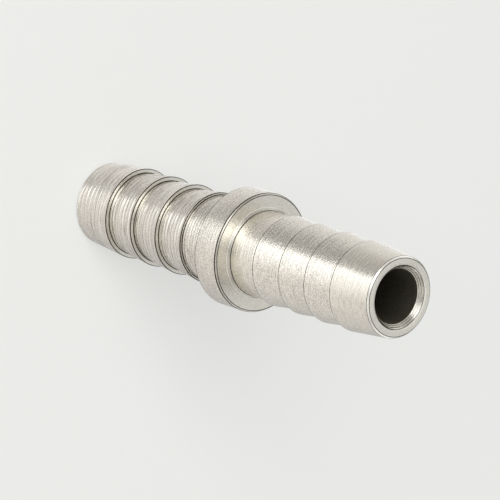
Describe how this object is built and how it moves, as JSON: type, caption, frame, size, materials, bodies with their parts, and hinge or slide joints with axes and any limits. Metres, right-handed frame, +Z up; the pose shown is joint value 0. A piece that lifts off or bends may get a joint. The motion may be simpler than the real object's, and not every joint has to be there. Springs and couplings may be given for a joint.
{
  "type": "double-ended hose barb",
  "caption": "Turned stainless hose barb with a barbed tail each way from a plain stop collar, a bore right through and countersunk mouths, for joining two hoses.",
  "frame": {"origin": "centre of the lower tail's end face, on the bore's axis", "axes": "+Z up the bore's axis, from the lower end face to the upper one; X and Y are free, because the part is a full turning"},
  "size_m": [0.0132, 0.0132, 0.0481],
  "materials": {
    "turned_stainless": "fine turned, satin"
  },
  "bodies": {
    "root": {"hose_barb": "turned_stainless"}
  },
  "joints": []
}
